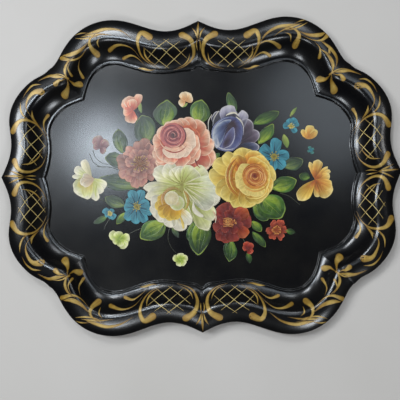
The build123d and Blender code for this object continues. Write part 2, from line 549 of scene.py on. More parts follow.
def floor_material():
    """Pale matt paint, very slightly uneven."""
    f = Finish("pale_wall_paint")
    plaster = f.noise(f.place, 3.0, 4.0)
    return f.finished({
        "Base Color": f.mix(f.remap(plaster, 0.3, 0.7), tone(176, 171, 165), tone(182, 177, 172)),
        "Roughness": 0.8,
        "Specular IOR Level": 0.2,
    })


PAINTS = {
    "paint_flowers": paint_material("painted_flowers", 0.0, 0.18, 1.18, (0.66, 0.61, 0.51)),
    "paint_leaves": paint_material("painted_leaves", 0.0, 0.28, 1.26, (0.60, 0.57, 0.48)),
    "paint_gold": paint_material("painted_gold", 0.15, 0.34, 1.15, (0.59, 0.545, 0.39)),
}

EDGE_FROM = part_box("rim_wire")[0][2] - 2 * MM  # the rolled edge starts just under the wire
for node, finish in ((pan, enamel_material(EDGE_FROM)), (wire, wire_material())):
    node.data.materials.clear()
    node.data.materials.append(finish)


# ---------------------------------------------------------------- flowers, leaves and stems

def ring(paint, heart, petals, tones, belly=0.68, round_tip=0.46, late=1.35, lean=0.28, edged=True):
    """Petals fanned out from one heart: (degrees, length, width) each."""
    for degrees, length, width in petals:
        bend = random.uniform(-1.5, 1.5)
        edge = shaded(tones[-1], 1.12) if edged else None
        paint.petal(
            heart, degrees, length, width, tones, belly, round_tip, bend, 0.14, lean, late, edge=edge
        )


def disc(paint, centre, radius, tones):
    """A round patch, for what shows between petals and for a flower's middle."""
    outline = [polar(centre, radius, 36 * k) for k in range(10)]
    paint.lobe(outline, centre, tones, 0.08, span=4)


def stamens(paint, centre, count, reach, tones, squash=1.0):
    """Fine filaments round a flower's middle, each ending in a dab of pollen; squash flattens the fan."""
    for k in range(count):
        degrees = 360 * (k + random.uniform(-0.3, 0.3)) / count
        length = reach * random.uniform(0.7, 1.1)
        x, y = polar((0, 0), length, degrees)
        tip = (centre[0] + x, centre[1] + y * squash)
        near = polar(centre, 0.8, degrees)
        paint.stroke([(*near, 0.6), (*tip, 1.1)], tones[:2])
        paint.stroke([(*tip, 1.9), (tip[0] + 0.5, tip[1] + 0.4, 1.6)], tones[1:])


def swirl(paint, centre, radius, dark, light, turns):
    """The wound heart of a rose: dark and light crescents that tighten towards the middle."""
    dark, light = (dark, dark), (light, light)
    for k in range(turns):
        size = radius * (0.14 + 0.8 * (1 - k / turns))
        start = 190 + 130 * k
        paint.sweep(centre, size, start, start - 150, radius * 0.12, dark, drift=-size * 0.14)
        start -= 120
        paint.sweep(centre, size * 0.92, start, start - 170, radius * 0.1, light, drift=-size * 0.16)


def pink_rose():
    p = Paint("pink_rose", 0.30)
    heart = (-36, 56)
    wine = tone(150, 70, 62)
    rim = (wine, ROSE_RED, CORAL, PEACH, BLUSH)
    rust = tone(176, 84, 58)
    warm = (wine, rust, tone(212, 124, 88), PEACH, BLUSH)
    disc(p, (-28, 54), 42, (wine, ROSE_RED, ROSE_RED))
    low = ((262, 48, 40), (-60, 54, 40), (-42, 66, 40), (-28, 70, 36), (231, 56, 34))
    ring(p, heart, low, rim, late=1.9)
    ring(p, heart, ((-9, 62, 36), (12, 56, 36), (213, 51, 32), (195, 43, 32)), rim, late=1.8)
    ring(p, heart, ((40, 55, 34), (60, 49, 30), (175, 45, 32), (78, 43, 26)), warm, late=1.7)
    ring(p, heart, ((146, 42, 28), (122, 41, 26), (98, 41, 26)), rim, late=1.5)
    ring(p, heart, ((22, 40, 32), (46, 36, 28)), (wine, rust, rust, tone(214, 130, 96)), late=1.2)
    ring(p, (-40, 54), ((-36, 46, 36), (-10, 40, 40), (-72, 40, 34)), rim, late=1.5)
    ring(p, (-44, 56), ((222, 38, 28), (252, 38, 30)), rim, late=1.5)
    pale = (CORAL, PEACH, tone(236, 208, 194), tone(240, 222, 210))
    ring(p, (-44, 58), ((6, 38, 42),), pale, 0.6, 0.4, 0.9, 0.1)
    ring(p, (-42, 62), ((-46, 36, 28), (-76, 34, 30), (-108, 33, 28)), pale, 0.64, 0.5, 1.0, 0.16)
    p.sweep((-43, 64), 24, 188, 330, 2.6, (ROSE_RED, tone(160, 88, 80)), CORAL)
    cup = (-46, 69)
    disc(p, cup, 22, (ROSE_DARK, tone(150, 84, 98), tone(186, 106, 112), tone(204, 128, 126)))
    swirl(p, cup, 20, tone(140, 74, 88), tone(220, 158, 154), 7)
    disc(p, (-44, 70), 6, hues((84, 56, 62), (104, 64, 70), (126, 76, 80)))
    p.sweep((-45, 68), 21, 70, -70, 2.6, (ROSE_DARK, tone(128, 66, 70)))
    p.sweep((-46, 66), 23, 196, 300, 2.2, (BLUSH, PEACH))
    p.sweep((-44, 62), 13, 215, 330, 2.2, (tone(220, 150, 140), BLUSH))
    p.stroke([(-8, 26, 2.6), (-6, 19, 2.2), (-1, 13, 0.8)], (tone(96, 56, 46), ROSE_RED))
    p.done()


def yellow_rose():
    p = Paint("yellow_rose", 1.25)
    heart = (80, -4)
    ochre = tone(180, 120, 34)
    honey = tone(210, 160, 64)
    rim = (UMBER, tone(184, 112, 34), tone(208, 150, 54), YELLOW, YELLOW_PALE)
    soft = (ochre, honey, tone(214, 184, 92), tone(226, 206, 120), YELLOW_PALE)
    disc(p, (76, -4), 44, (UMBER, ochre, honey))
    left = ((180, 66, 38), (155, 64, 32), (-152, 60, 34), (135, 57, 26), (-138, 57, 32))
    ring(p, heart, left, soft, late=1.6)
    ring(p, heart, ((-114, 56, 32), (-92, 53, 32), (99, 51, 36), (-68, 49, 36), (8, 48, 34)), soft, late=2.1)
    ring(p, heart, ((68, 46, 38), (42, 45, 34), (-30, 46, 38), (-50, 47, 32), (120, 44, 26)), rim, late=1.9)
    inner = ((60, 34, 34), (28, 35, 32), (-4, 35, 32), (-36, 35, 34), (-70, 40, 38))
    ring(p, (84, -3), inner, rim, late=1.7)
    for k, radius in enumerate((40, 34)):
        p.sweep((86, -3), radius, 128 + 6 * k, 236 - 4 * k, 6.0, (ochre, tone(192, 134, 44)), honey)
        p.sweep((86, -3), radius + 3.5, 140 + 8 * k, 228, 2.2, (YELLOW_PALE, YELLOW))
    cream = (honey, YELLOW, tone(232, 210, 132), tone(236, 220, 152))
    lip = ((190, 37, 40), (156, 34, 30), (226, 37, 34), (262, 34, 34))
    ring(p, (94, -4), lip, cream, 0.62, 0.42, 0.9, 0.12)
    cup = (92, -3)
    disc(p, cup, 22, (UMBER, tone(196, 122, 60), tone(214, 148, 78), tone(218, 160, 78)))
    swirl(p, cup, 20.5, tone(178, 106, 52), tone(232, 184, 118), 6)
    disc(p, (91, -2), 5.5, hues((118, 54, 32), (146, 72, 40), (182, 104, 56)))
    p.sweep((96, -3), 9, 100, -60, 2.8, hues((236, 190, 140), (222, 160, 100)))
    p.sweep((97, -6), 13, 40, -120, 2.6, hues((240, 204, 150), (224, 160, 90)))
    p.sweep((92, -3), 25, 215, 330, 3.0, (tone(236, 190, 120), honey))
    p.sweep((92, -3), 21, 60, 190, 2.2, (tone(164, 90, 44), AMBER))
    p.done()


def tulip():
    p = Paint("violet_tulip", 0.22)
    frost = tone(208, 208, 222)
    smoke = (PLUM, tone(84, 72, 92), tone(112, 100, 122), tone(160, 154, 178))
    slate = (PLUM, tone(58, 64, 92), tone(96, 102, 140), tone(168, 172, 196))
    night = (PLUM, tone(44, 42, 58), tone(62, 60, 82), tone(112, 114, 138))
    for degrees, length, width, tones, bend, start in (
        (20, 46, 24, smoke, 3, (60, 52)),
        (10, 42, 18, slate, -3, (58, 44)),
        (50, 47, 30, smoke, 2, (58, 56)),
        (66, 54, 22, (PLUM, tone(70, 64, 92), LAVENDER, frost), 0, (56, 60)),
        (114, 46, 26, night, -2, (44, 66)),
        (84, 50, 30, (PLUM, tone(74, 72, 106), LAVENDER, frost), 0, (46, 70)),
        (66, 38, 28, night, 0, (46, 72)),
    ):
        p.petal(start, degrees, length, width, tones, 0.66, 0.5, bend, late=1.7, edge=frost)
    p.stroke([(15, 76, 0.8), (15, 92, 1.8), (21, 104, 0.7)], (tone(190, 192, 202), WHITE))
    p.stroke([(22, 84, 0.8), (25, 98, 2.0), (33, 110, 0.8)], (tone(130, 136, 160), WHITE))
    cup = [(20, 64), (22, 82), (34, 95), (50, 100), (64, 97), (72, 84)]
    cup += [(73, 68), (66, 50), (52, 40), (36, 42), (26, 48)]
    bowl = hues((58, 38, 50), (74, 54, 76), (80, 78, 122), (88, 94, 148), (120, 128, 172))
    p.lobe(cup, (56, 88), bowl)
    left = [(22, 64), (26, 82), (40, 93), (54, 94), (46, 84), (42, 72), (38, 58), (30, 46), (25, 50)]
    p.lobe(left, (48, 86), hues((52, 46, 76), (74, 82, 130), (112, 128, 172), (190, 198, 216)))
    middle = [(36, 45), (40, 60), (48, 74), (58, 82), (60, 66), (56, 52), (46, 43)]
    p.lobe(middle, (43, 54), hues((58, 40, 54), (82, 68, 96), (98, 96, 140), (134, 140, 184)))
    p.stroke([(37, 44, 1.0), (52, 51, 1.8), (59, 66, 1.6), (58, 80, 0.6)], (tone(186, 188, 212), LAVENDER))
    p.sweep((47, 70), 27, 200, 330, 2.0, (tone(210, 214, 228), LAVENDER))
    outer_light = [(22, 58, 1.2), (24, 78, 2.4), (36, 93, 1.4), (50, 99, 0.6)]
    p.stroke(outer_light, hues((206, 212, 228), (150, 164, 200)))
    lower_light = [(27, 47, 1.0), (31, 50, 5.0), (30, 60, 3.0), (27, 72, 0.8)]
    p.stroke(lower_light, hues((206, 208, 222), (140, 152, 190)))
    p.stroke([(45, 102, 1.0), (52, 105, 3.2), (60, 106, 3.2), (66, 101, 1.0)], (WHITE, WHITE))
    p.stroke([(62, 99, 1.2), (70, 92, 2.8), (74, 82, 1.6), (74, 68, 0.6)], (WHITE, LAVENDER))
    p.stroke([(68, 62, 0.8), (64, 50, 2.6), (55, 43, 1.0)], (VIOLET, tone(150, 156, 196)))
    p.done()


def peony():
    p = Paint("white_peony", 0.80)
    heart = (-32, -15)
    sap = tone(178, 178, 104)
    fair = (sap, LIME, tone(216, 216, 168), IVORY, WHITE)
    green = (sap, tone(178, 188, 108), tone(208, 214, 160), IVORY)
    cool = (sap, LIME, tone(212, 216, 184), ICE, WHITE)
    disc(p, (-34, -30), 44, (tone(166, 162, 88), sap, LIME))
    ring(p, heart, ((150, 54, 30), (131, 44, 30), (107, 32, 30), (80, 29, 30)), fair, 0.7, 0.42, 1.1)
    ring(p, heart, ((26, 50, 34), (50, 36, 36)), green, 0.7, 0.42, 1.0)
    ring(p, (-34, -18), ((183, 62, 20), (195, 62, 24)), fair, 0.66, 0.5, 1.1)
    ring(p, (-28, -22), ((-88, 60, 26), (-60, 80, 28), (-45, 74, 26)), green, 0.74, 0.45)
    ring(p, heart, ((0, 58, 30), (-13, 67, 34), (-36, 66, 30), (-24, 70, 32)), cool, 0.74, 0.42, 1.1)
    for k in range(15):
        degrees = 22 - 7 * k + random.uniform(-3, 3)
        reach = random.uniform(30, 58)
        swing = random.uniform(-6, 6)
        shape = ((0.2, 1.0), (0.55, 2.4), (1.0, 0.5))
        line = [(*polar(heart, reach * share, degrees + swing * share), width) for share, width in shape]
        light = k % 3 != 1
        hue = tone(224, 222, 176) if light else tone(160, 164, 92)
        p.stroke(line, (hue, WHITE if light else LIME))
    for k in range(6):
        degrees = 46 + 27 * k + random.uniform(-8, 8)
        shape = ((5, 0, 1.6), (15, 5, 1.4), (30, 0, 0.5))
        line = [(*polar(heart, reach, degrees + swing), width) for reach, swing, width in shape]
        p.stroke(line, hues((166, 160, 86), (206, 204, 150)))
    disc(p, heart, 4, (tone(152, 146, 74), tone(166, 162, 88), sap))
    bowl = (-48, -42)
    white = (OCHRE, tone(214, 184, 110), IVORY, WHITE, WHITE)
    ring(p, bowl, ((184, 38, 28), (214, 42, 28), (238, 42, 26), (262, 46, 24)), white, 0.74, 0.42, 1.6)
    ring(p, bowl, ((286, 54, 26), (304, 50, 22)), white, 0.74, 0.42, 1.4)
    gold = (tone(160, 104, 30), OCHRE, tone(220, 180, 60), tone(228, 206, 112))
    inner = ((178, 26, 20), (204, 31, 22), (232, 34, 24), (258, 34, 24), (284, 34, 20))
    ring(p, bowl, inner, gold, 0.66, 0.5, 1.0)
    p.sweep((-46, -38), 17, 40, 200, 6.5, hues((172, 160, 88), (198, 152, 104)), tone(172, 164, 92))
    p.sweep((-44, -40), 22, 205, 140, 3.4, hues((222, 196, 160), (190, 140, 80)))
    p.sweep((-43, -42), 22, 50, -50, 5.5, hues((190, 142, 74), (184, 166, 92)), LIME)
    disc(p, (-40, -46), 13, (tone(222, 200, 168), tone(208, 204, 162), tone(196, 206, 150), IVORY))
    disc(p, (-49, -38), 12.5, (tone(232, 226, 206), tone(226, 218, 192), tone(216, 206, 170), IVORY))
    p.stroke([(-13, -44, 1.0), (-11, -58, 8.0), (-3, -66, 8.0), (2, -68, 5.0)], (WHITE, WHITE), IVORY)
    p.stroke([(-36, -66, 1.0), (-31, -80, 5.0), (-30, -88, 3.0)], (tone(208, 178, 70), YELLOW_PALE))
    p.stroke([(20, -60, 1.0), (25, -70, 2.6), (24, -80, 0.8)], (tone(232, 190, 160), WHITE))
    p.done()


def daisy(name, heart, petals, tones, middle, level, core):
    """An open flower: a ring of petals, a darker crease down each, and a small tufted middle."""
    p = Paint(name, level)
    ring(p, heart, petals, tones, 0.68, 0.42, 0.16)
    for degrees, length, width in petals:
        ends = [polar(heart, length * share, degrees + 4) for share in (0.25, 0.55, 0.8)]
        crease = [(*point, width * size) for point, size in zip(ends, (0.10, 0.08, 0.03))]
        p.stroke(crease, (tones[0], blend(tones[0], tones[-2], 0.6)))
        edge = [polar(heart, length * share, degrees - 14 * (1.1 - share)) for share in (0.5, 0.75, 0.93)]
        p.stroke([(*point, width * 0.07) for point in edge], (tones[-2], tones[-1]))
    disc(p, heart, core, middle[:2] + middle[1:2])
    stamens(p, heart, 10, core * 1.5, middle)
    p.done()


def ruffled(name, heart, reach, count, tones, pollen, level):
    """A full flower: three rings of notched petals round a burst of stamens."""
    p = Paint(name, level)
    disc(p, heart, reach * 0.62, (tones[0], tones[0], tones[1]))
    for layer, share in enumerate((1.0, 0.74, 0.46)):
        for k in range(count - layer):
            degrees = 360 * (k + 0.5 * layer + random.uniform(-0.14, 0.14)) / (count - layer)
            length = reach * share * random.uniform(0.88, 1.1)
            light = (1.0, 0.88, 0.8)[layer] * random.uniform(0.72, 1.22)
            palette = [shaded(c, light) for c in tones]
            for side in (-1, 1):
                spread = degrees + side * 9
                size = length * (1 - 0.05 * side)
                wide = length * 0.46
                p.petal(
                    heart, spread, size, wide, palette, 0.74, 0.45, 0.0, 0.2, 0.3, 1.5, 0.04, palette[-1]
                )
    disc(p, heart, reach * 0.17, (tones[0], tones[0], tones[1]))
    stamens(p, heart, 18, reach * 0.36, pollen)
    p.done()


def cream_flower():
    p = Paint("cream_flower", 0.12)
    heart = (-184, -2)
    lime_white = (tone(186, 190, 104), tone(204, 210, 148), IVORY, WHITE)
    milky = (tone(190, 186, 146), tone(208, 204, 172), tone(222, 218, 190), WHITE)
    honeyed = (tone(176, 156, 70), tone(200, 190, 112), tone(208, 214, 160), WHITE)
    blush_white = (tone(186, 164, 138), tone(206, 186, 162), tone(216, 202, 180), WHITE)
    ring(p, heart, ((150, 35, 15), (174, 34, 8), (-34, 28, 17), (-54, 31, 14)), lime_white, 0.72, 0.42)
    ring(p, heart, ((-80, 39, 14),), lime_white, 0.76, 0.42)
    ring(p, heart, ((248, 37, 22), (208, 35, 24), (226, 38, 30)), honeyed, 0.7, 0.42)
    disc(p, (-203, -12), 6.5, hues((188, 168, 66), (200, 188, 98), (206, 206, 140)))
    p.stroke([(-200, -14, 1.0), (-200, -24, 3.0), (-197, -32, 0.8)], hues((196, 184, 96), (214, 218, 160)))
    ring(p, heart, ((116, 36, 14),), milky, 0.72, 0.45)
    ring(p, (-180, -3), ((166, 21, 11), (190, 25, 16), (216, 22, 11)), blush_white, 0.66, 0.42)
    p.stroke([(-176, -12, 1.0), (-178, -24, 2.6), (-177, -36, 0.8)], hues((190, 200, 104), (210, 216, 150)))
    p.done()


def golden_flower():
    p = Paint("golden_flower", 0.12)
    heart = (193, -10)
    butter = tone(244, 228, 172)
    warm = (tone(190, 118, 50), tone(214, 160, 82), tone(230, 196, 112), butter)
    bright = (tone(196, 130, 50), tone(220, 180, 84), tone(234, 206, 116), butter)
    upper = ((107, 31, 8), (82, 34, 17), (44, 30, 8), (30, 30, 8), (12, 26, 15))
    lower = ((-80, 30, 13), (-26, 30, 20), (-46, 36, 28))
    for petals in (upper, lower):
        ring(p, heart, petals, warm, 0.72, 0.42, 1.3)
    ring(p, heart, ((231, 44, 24),), bright, 0.68, 0.5, 1.2)
    deep = hues((176, 98, 44), (202, 134, 66), (220, 170, 96))
    ring(p, heart, ((92, 18, 8), (40, 15, 7), (-50, 17, 8), (-80, 22, 5), (236, 15, 7)), deep, edged=False)
    p.stroke([(194, -12, 1.0), (197, -22, 2.0), (200, -31, 0.6)], hues((150, 92, 34), (176, 122, 48)))
    p.stroke([(196, -14, 0.8), (201, -22, 1.8), (204, -30, 0.6)], hues((160, 104, 40), (188, 134, 60)))
    p.done()


def red_flower():
    p = Paint("red_flower", 0.2)
    heart = (50, -80)
    garnet = tone(84, 28, 30)
    crimson = (garnet, tone(112, 38, 36), tone(138, 52, 46), tone(160, 78, 62))
    russet = (garnet, tone(130, 50, 34), tone(172, 80, 44), tone(200, 116, 72))
    disc(p, heart, 20, (garnet, tone(98, 32, 32), tone(112, 36, 34)))
    ring(p, heart, ((150, 32, 18), (118, 36, 28), (70, 34, 22), (0, 36, 24)), crimson, 0.72, 0.42, 1.2, 0.4)
    lower = ((196, 31, 22), (228, 37, 18), (-112, 36, 18), (-84, 33, 26))
    ring(p, heart, lower, crimson, 0.74, 0.42, 1.2, 0.4)
    ring(p, heart, ((40, 36, 24), (-40, 36, 20)), russet, 0.72, 0.42, 1.2, 0.4)
    inner = ((100, 22, 16), (30, 20, 13), (-20, 22, 13), (-70, 20, 14), (-130, 21, 14), (170, 21, 14))
    ring(p, heart, inner, crimson)
    stamens(p, heart, 12, 10, GILT, squash=0.55)
    for k in range(6):
        y = heart[1] + 6 - 2.6 * k
        line = [(heart[0] - 13, y, 0.8), (heart[0] - 5, y + 1.4, 1.5), (heart[0] + 3, y - 0.6, 0.8)]
        p.stroke(line, (GILT[1], GILT[2], GILT[1]))
    p.done()


def bud(name, heart, petals, tones):
    """A half-open bud: a few overlapping petals, the last two with a bright turned edge."""
    p = Paint(name, 0.1)
    ring(p, heart, petals, tones, 0.62, 0.45)
    for degrees, length, width in petals[-2:]:
        places = ((0.5, 26), (0.86, 14), (0.93, -6))
        edge = [polar(heart, length * share, degrees + swing) for share, swing in places]
        p.stroke([(*point, width * 0.1) for point in edge], (tones[-1], tones[-1]))
    p.done()


pink_rose()
yellow_rose()
tulip()
peony()
cream_flower()
golden_flower()
ruffled(
    "mauve_flower", (-102, 22), 38, 8, (WINE, DUSK, DUSK_LIGHT, tone(208, 166, 154)),
    hues((150, 110, 70), (196, 168, 104), (224, 200, 140)), 0.15,
)
red_flower()
ruffled(
    "small_red_flower", (126, -94), 19, 6, (WINE, tone(138, 56, 38), tone(166, 76, 52), SALMON),
    GILT, 0.1,
)
blue = hues((14, 54, 76), (22, 82, 110), (34, 110, 140), (84, 162, 186))
pollen = hues((120, 112, 50), (170, 160, 78), (206, 196, 120))
around = (70, 110, 145, 180, 225, 262, 300, 338, 20)
daisy(
    "blue_flower_left", (-108, -51),
    [(degrees, 30 if 40 < degrees < 120 or degrees > 220 else 22, 17) for degrees in around],
    blue, pollen, 0.22, 5.0,
)
daisy(
    "blue_flower_right", (125, 30),
    ((150, 28, 24), (176, 22, 18), (82, 32, 20), (10, 25, 20), (-52, 26, 18), (-100, 24, 16)),
    blue, pollen, 0.12, 5.5,
)
daisy(
    "small_blue_right", (155, 81), ((60, 16, 13), (100, 14, 12), (30, 14, 11), (176, 14, 12), (-60, 13, 10)),
    blue, BUTTER, 0.05, 3.2,
)
daisy(
    "small_blue_left", (-154, -62), ((140, 13, 12), (60, 9, 9), (-40, 12, 12), (-90, 9, 8), (-170, 9, 9)),
    blue, BUTTER, 0.05, 2.6,
)
daisy(
    "tiny_blue_flower", (187, 40), ((100, 7, 6), (20, 6, 5), (200, 6, 5), (-70, 7, 6)),
    (TEAL_DARK, tone(42, 104, 106), tone(86, 150, 150)), (tone(60, 90, 70), TEAL, TEAL), 0.03, 1.4,
)
pink = (tone(180, 90, 76), CORAL, PEACH, BLUSH)
bud(
    "pink_bud", (-114, 113),
    ((250, 22, 18), (66, 32, 15), (-90, 22, 16), (168, 16, 22), (120, 26, 26), (90, 20, 18)), pink,
)
bud(
    "peach_bud", (-24, 128), ((70, 16, 18), (30, 14, 16), (206, 12, 14), (110, 16, 14)),
    hues((206, 150, 96), (224, 182, 136), (238, 212, 180), (242, 230, 212)),
)
bud(
    "yellow_bud", (183, 59), ((124, 19, 10), (42, 21, 13), (78, 24, 17)),
    (tone(196, 132, 56), tone(222, 172, 86), tone(234, 200, 120), YELLOW_PALE),
)
bud(
    "mauve_bud", (-170, 50), ((112, 21, 20), (160, 12, 14), (40, 18, 16), (-40, 12, 12)),
    hues((110, 60, 70), (140, 96, 106), (168, 128, 132), (176, 160, 150)),
)
green_white = hues((132, 160, 60), (184, 204, 104), (222, 232, 176), (234, 238, 208))
bud(
    "green_bud_left", (-138, -106),
    ((150, 20, 16), (100, 14, 16), (200, 12, 12), (10, 18, 16), (-50, 18, 16), (-80, 12, 12)), green_white,
)
bud(
    "green_bud_middle", (-36, -141),
    ((160, 13, 12), (90, 11, 13), (20, 13, 12), (-40, 12, 12), (-110, 11, 12)), green_white,
)
bud("red_bud", (78, -124), ((100, 12, 12), (40, 11, 11), (-60, 10, 12), (180, 9, 10)), (WINE, BRICK, SALMON))

GREY_LEAF = hues((158, 174, 110), (104, 128, 88), (78, 100, 78), (50, 66, 56))
DEEP_LEAF = (tone(160, 184, 84), tone(96, 134, 58), tone(60, 94, 46), LEAF_DARK)
PALE_LEAF = hues((196, 206, 130), (160, 178, 96), (120, 148, 84))
FRESH_LEAF = (LEAF_LIGHT, tone(120, 152, 56), tone(66, 96, 44), LEAF_DARK)
LEAVES = (
    ("rose_left", (-62, 86), (-60, 131), 40, -5, (LEAF_LIGHT, LEAF, tone(88, 112, 82), tone(70, 92, 72))),
    ("rose_top", (-3, 88), (8, 129), 36, 4, None),
    ("tulip_tip", (60, 104), (55, 143), 17, 5, DEEP_LEAF),
    ("tulip_lance", (91, 86), (135, 110), 20, -3, DEEP_LEAF),
    ("tulip_low", (99, 52), (122, 88), 21, -4, None),
    ("left_top", (-132, 40), (-136, 82), 26, 3, GREY_LEAF),
    ("rose_side", (-88, 56), (-104, 104), 40, -6, GREY_LEAF),
    ("left_middle", (-126, 24), (-162, 27), 26, -6, GREY_LEAF),
    ("left_long", (-98, -16), (-170, 6), 30, 8, GREY_LEAF),
    ("left_low", (-129, -50), (-160, -31), 22, 4, GREY_LEAF),
    ("blue_far", (-158, -67), (-183, -76), 11, 2, DEEP_LEAF),
    ("blue_low", (-126, -60), (-141, -81), 13, -2, None),
    ("peony_left", (-60, -78), (-101, -108), 36, -4, None),
    ("peony_grey", (-49, -87), (-40, -105), 9, 2, GREY_LEAF),
    ("peony_dark", (-14, -78), (-12, -116), 22, -3, DEEP_LEAF),
    ("peony_low", (2, -70), (-1, -136), 38, -5, FRESH_LEAF),
    ("red_low", (50, -108), (42, -145), 24, 4, DEEP_LEAF),
    ("yellow_low", (100, -36), (132, -77), 46, 6, (LEAF_LIGHT, tone(122, 158, 60), LEAF, tone(60, 92, 48))),
    ("yellow_dark", (88, -46), (116, -74), 26, -5, DEEP_LEAF),
    ("yellow_right", (120, -24), (161, -6), 28, -4, None),
    ("blue_right", (140, 12), (173, 26), 23, -3, GREY_LEAF),
    ("red_right", (86, -78), (98, -98), 15, 3, None),
    ("red_far", (86, -96), (105, -124), 14, 3, DEEP_LEAF),
    ("red_small", (141, -95), (158, -97), 10, -1, DEEP_LEAF),
    ("bud_low", (77, -130), (80, -149), 10, 1, DEEP_LEAF),
    ("blue_pale", (142, 68), (147, 44), 11, 1, PALE_LEAF),
    ("sprig", (153, 98), (166, 113), 6, 1, PALE_LEAF),
    ("golden", (184, -7), (167, 0), 15, 2, DEEP_LEAF),
    ("small_gap", (24, 27), (33, 38), 9, 0, None),
    ("peach", (-20, 124), (-30, 117), 5, 0, PALE_LEAF),
    ("pink", (-104, 132), (-98, 108), 7, -1, PALE_LEAF),
)
LEAF_STEP = 0.14  # every other leaf lies this much higher, so that neighbours can overlap, mm
VEINED_FROM = 12  # narrower leaves carry no side veins, mm
for order, (name, base, tip, width, bend, tones) in enumerate(LEAVES):
    leaf = Paint("leaf_" + name, LEAF_STEP * (order % 2), "paint_leaves")
    leaf.leaf(base, tip, width, tones, bend, 0 if width < VEINED_FROM else 3)
    leaf.done()

stems = Paint("bud_stems", -0.02, "paint_leaves")
for points in (
    [(-48, -74), (-56, -100), (-52, -118), (-42, -131)],
    [(-92, -84), (-112, -92), (-126, -99)],
    [(-150, -66), (-158, -76), (-164, -88)],
    [(-182, 46), (-178, 34), (-166, 24), (-150, 20)],
    [(-188, 40), (-180, 24), (-164, 16)],
    [(-176, 18), (-150, 16), (-128, 6)],
    [(134, -32), (150, -38), (166, -52)],
    [(70, -108), (74, -116), (77, -121)],
    [(-180, -34), (-160, -42), (-148, -48)],
    [(158, 92), (156, 98), (154, 104)],
):
    stems.stroke([(x, y, 1.3 - 0.25 * k) for k, (x, y) in enumerate(points)], (STEM, shaded(STEM, 0.7)))
stems.done()


# ---------------------------------------------------------------- gold scrollwork

GOLD_TONES = (GOLD, GOLD_LIGHT, GOLD, GOLD_DARK)
GOLD_LINE = hues((222, 196, 136), (252, 236, 184), (222, 196, 136))
UNSTEADY = 0.7  # how far a gold stroke's points stray, mm


def brushed(paint, width, points, pressure):
    """One gold stroke; pressure turns a share of its length into a share of its full width."""
    path = []
    for k, (x, y) in enumerate(points):
        swell = width * pressure(k / (len(points) - 1))
        x += random.uniform(-UNSTEADY, UNSTEADY)
        y += random.uniform(-UNSTEADY, UNSTEADY)
        path.append((x, y, swell))
    paint.stroke(path, GOLD_TONES, GOLD_DARK)


def comma(paint, width, *points):
    """The scroll painter's stroke: pressed down at its head, then lifted to a hair at its tail."""
    brushed(paint, width, points, lambda share: 0.06 + 0.9 * (1 - share) ** 1.6 if share else 1.12)


def blade(paint, width, *points):
    """A leaf stroke, thin at both ends and fullest a third of the way along."""
    brushed(paint, width, points, lambda share: max(0.1, math.sin(math.pi * share**0.7)))


def lattice(paint, centre, half_wide, half_high, degrees, gap):
    """Crossed hairlines that fill an oval, like a trellis."""
    for side in (1, -1):
        dx, dy = math.cos(math.radians(degrees * side)), math.sin(math.radians(degrees * side))
        reach = math.hypot(half_wide * dy, half_high * dx)
        count = int(reach / gap)
        for k in range(-count, count + 1):
            offset = gap * k + random.uniform(-1.2, 1.2)
            px, py = -dy * offset, dx * offset
            a = (dx / half_wide) ** 2 + (dy / half_high) ** 2
            b = 2 * (px * dx / half_wide**2 + py * dy / half_high**2)
            c = (px / half_wide) ** 2 + (py / half_high) ** 2 - 1
            root = b * b - 4 * a * c
            if root <= 0:
                continue
            first, last = ((-b + sign * math.sqrt(root)) / (2 * a) for sign in (-1, 1))
            places = ((first, 0, 0.5), ((first + last) / 2, random.uniform(-1, 1), 1.0), (last, 0, 0.5))
            line = [
                (centre[0] + px + dx * t, centre[1] + py + dy * t + bow, width) for t, bow, width in places
            ]
            paint.stroke(line, GOLD_LINE)


# every motif below is drawn for the back right quarter, where x and y are both positive
def cusp_lattice(p):
    lattice(p, (54, 205), 37, 21, 36, 14.5)


def cusp_scrolls(p, slide):
    """The two big commas that hold the lattice beside a cusp, and the sprays that slide away from them."""
    comma(p, 13, (26, 232), (15, 226), (8, 214), (9, 202), (16, 192), (27, 185), (42, 181))
    blade(p, 2.2, (15, 205), (18, 196), (26, 189), (38, 184))
    comma(p, 13, (82, 231), (93, 237), (100, 228), (100, 216), (96, 204), (86, 193), (66, 183))
    blade(p, 3.0, (90, 214), (90, 203), (82, 194), (70, 188))
    spray = ((150, 214), (138, 219), (124, 219), (110, 212), (98, 200))
    comma(p, 6.5, *((x + slide, y) for x, y in spray))
    spray = ((127, 202), (116, 205), (104, 200), (89, 187))
    comma(p, 6.0, *((x + slide / 2, y) for x, y in spray))
    blade(p, 4.0, (104, 186), (95, 184), (84, 181), (74, 182))


def crest_leaves(p):
    """The leaves that run over the crest of a big lobe."""
    blade(p, 6.5, (188, 236), (172, 241), (154, 245), (132, 242), (112, 230))
    blade(p, 3.6, (196, 233), (178, 235), (160, 236), (142, 234))
    blade(p, 3.2, (206, 231), (190, 229), (174, 232), (158, 238))
    blade(p, 2.6, (207, 237), (196, 239), (182, 239))
    comma(p, 12.0, (173, 209), (180, 215), (181, 226), (172, 236), (156, 241))
    blade(p, 3.0, (166, 216), (168, 224), (162, 232))
    blade(p, 8.0, (226, 203), (212, 203), (196, 210), (183, 224))
    comma(p, 8.5, (227, 198), (212, 194), (199, 199), (184, 216))
    comma(p, 5.6, (197, 171), (202, 182), (199, 196))
    comma(p, 4.6, (213, 169), (217, 180), (212, 193))


